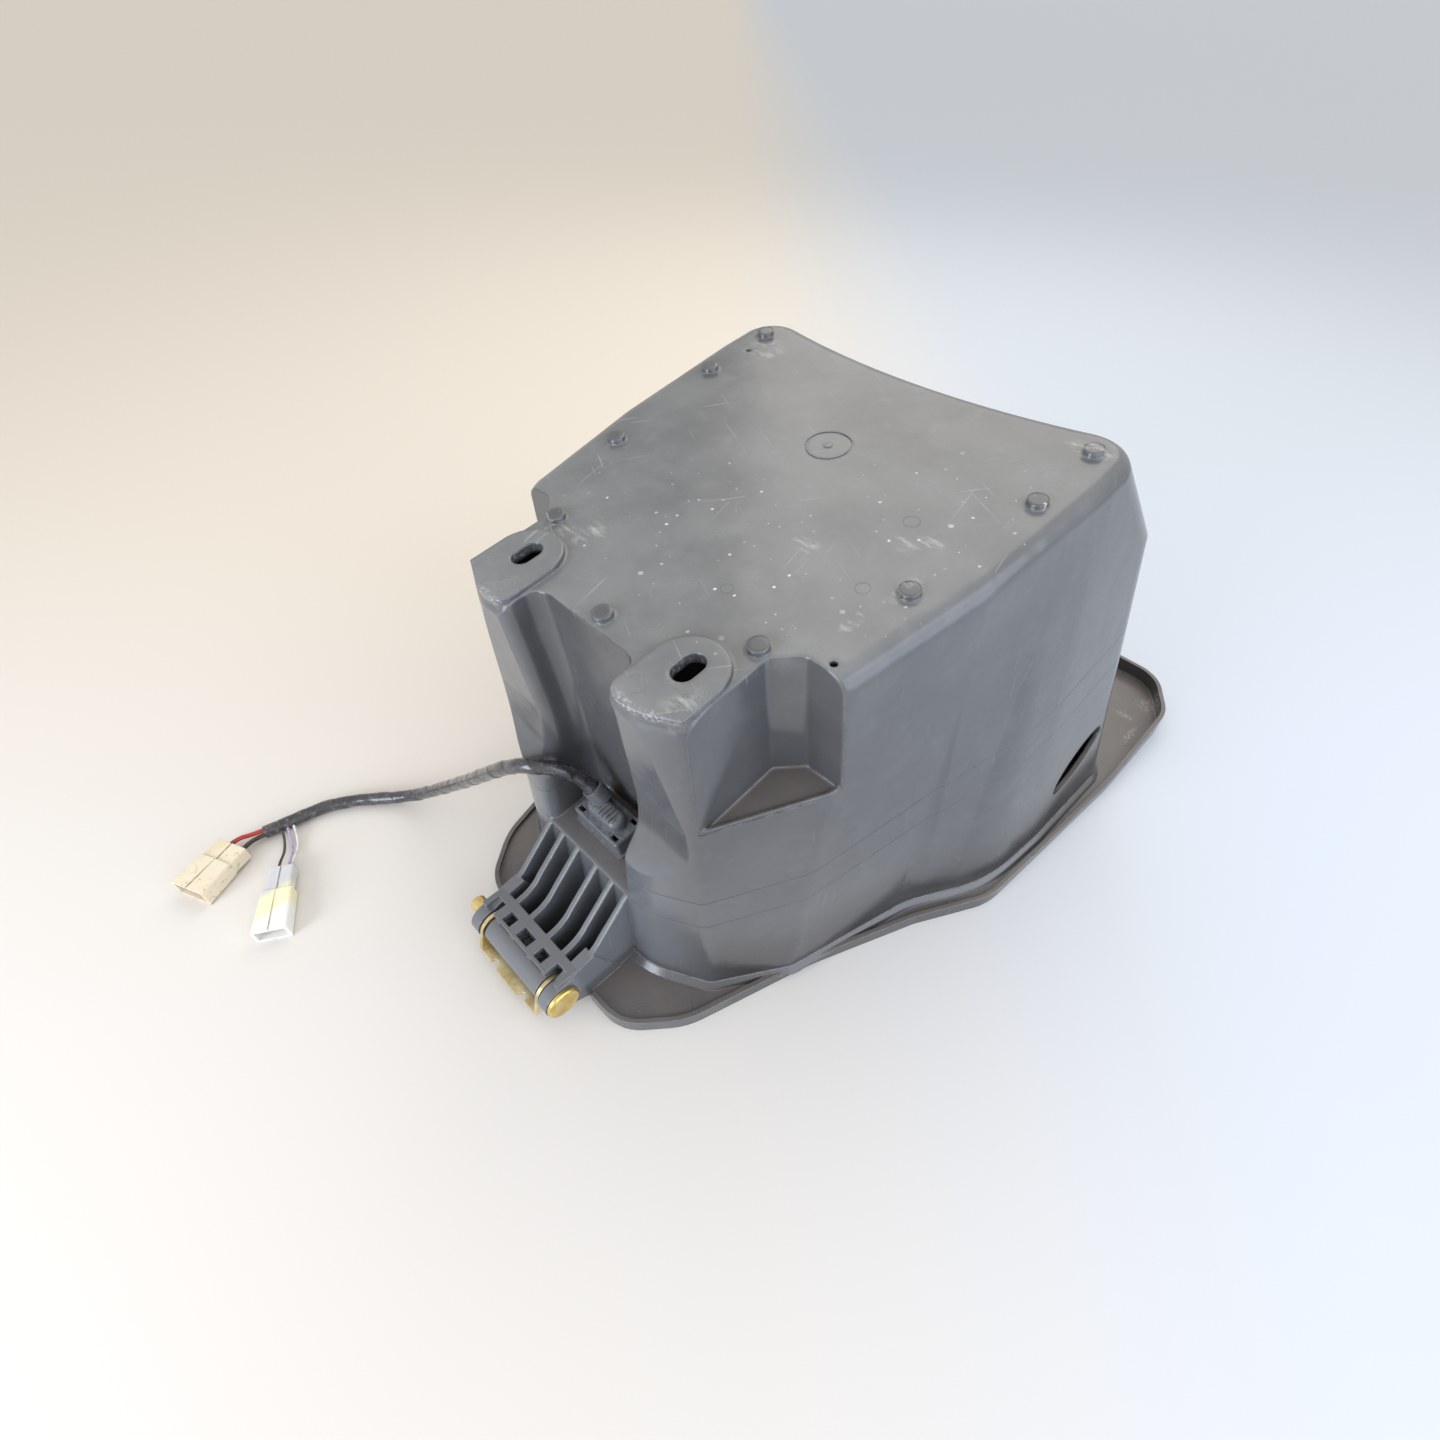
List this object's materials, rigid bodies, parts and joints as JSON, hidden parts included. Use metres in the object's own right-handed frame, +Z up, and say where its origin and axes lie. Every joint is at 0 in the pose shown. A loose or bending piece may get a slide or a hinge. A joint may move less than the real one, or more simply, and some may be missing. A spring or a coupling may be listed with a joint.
{
  "type": "scooter under-seat storage tub",
  "caption": "Moulded plastic under-seat storage tub, standing upside down on its seat rim, with steel seat hinge bracket, compartment lamp and wiring harness with two connectors.",
  "frame": {"origin": "on the plane that the rim lip rests on, below the middle of the tub's bounding box, measured without the harness and its connectors", "axes": "+X across the tub to the side with the oval hole, +Y from the seat hinge towards the rear, +Z up from the rim to the floor plate: the tub stands upside down"},
  "size_m": [0.3537, 0.5704, 0.2352],
  "materials": {
    "tub_plastic": "as moulded, fine grain, scuffed",
    "zinc_steel": "pressed sheet, yellow zinc passivate",
    "pin_steel": "turned bar, yellow zinc passivate",
    "lamp_plastic": "moulded, satin gloss",
    "lens_plastic": "translucent moulded diffuser",
    "bulb_glass": "clear blown glass",
    "contact_brass": "stamped strip",
    "harness_tape": "spiral wound PVC tape",
    "red_pvc": "extruded insulation",
    "black_pvc": "extruded insulation",
    "violet_pvc": "extruded insulation",
    "pale_pvc": "extruded insulation",
    "ivory_nylon": "natural nylon, grimy",
    "clear_nylon": "translucent natural nylon, yellowed"
  },
  "bodies": {
    "storage_tub": {"tub": "tub_plastic", "hinge_pin": "pin_steel", "lamp_housing": "lamp_plastic", "lamp_lens": "lens_plastic", "lamp_bulb": "bulb_glass", "lamp_contact_left": "contact_brass", "lamp_contact_right": "contact_brass", "harness_cable": "harness_tape", "red_wire": "red_pvc", "black_wire": "black_pvc", "violet_wire": "violet_pvc", "thin_black_wire": "black_pvc", "pale_wire": "pale_pvc", "main_connector_housing": "ivory_nylon", "main_terminal_red": "contact_brass", "main_terminal_black": "contact_brass", "branch_connector_housing": "clear_nylon", "branch_terminal_a": "contact_brass", "branch_terminal_b": "contact_brass"},
    "seat_bracket": {"hinge_bracket": "zinc_steel"}
  },
  "joints": [
    {"name": "seat_hinge", "type": "hinge", "parent": "storage_tub", "child": "seat_bracket", "pos_m": [0, -0.2203, 0.0207], "axis": [1, 0, 0], "range_deg": [-95, 0]}
  ]
}
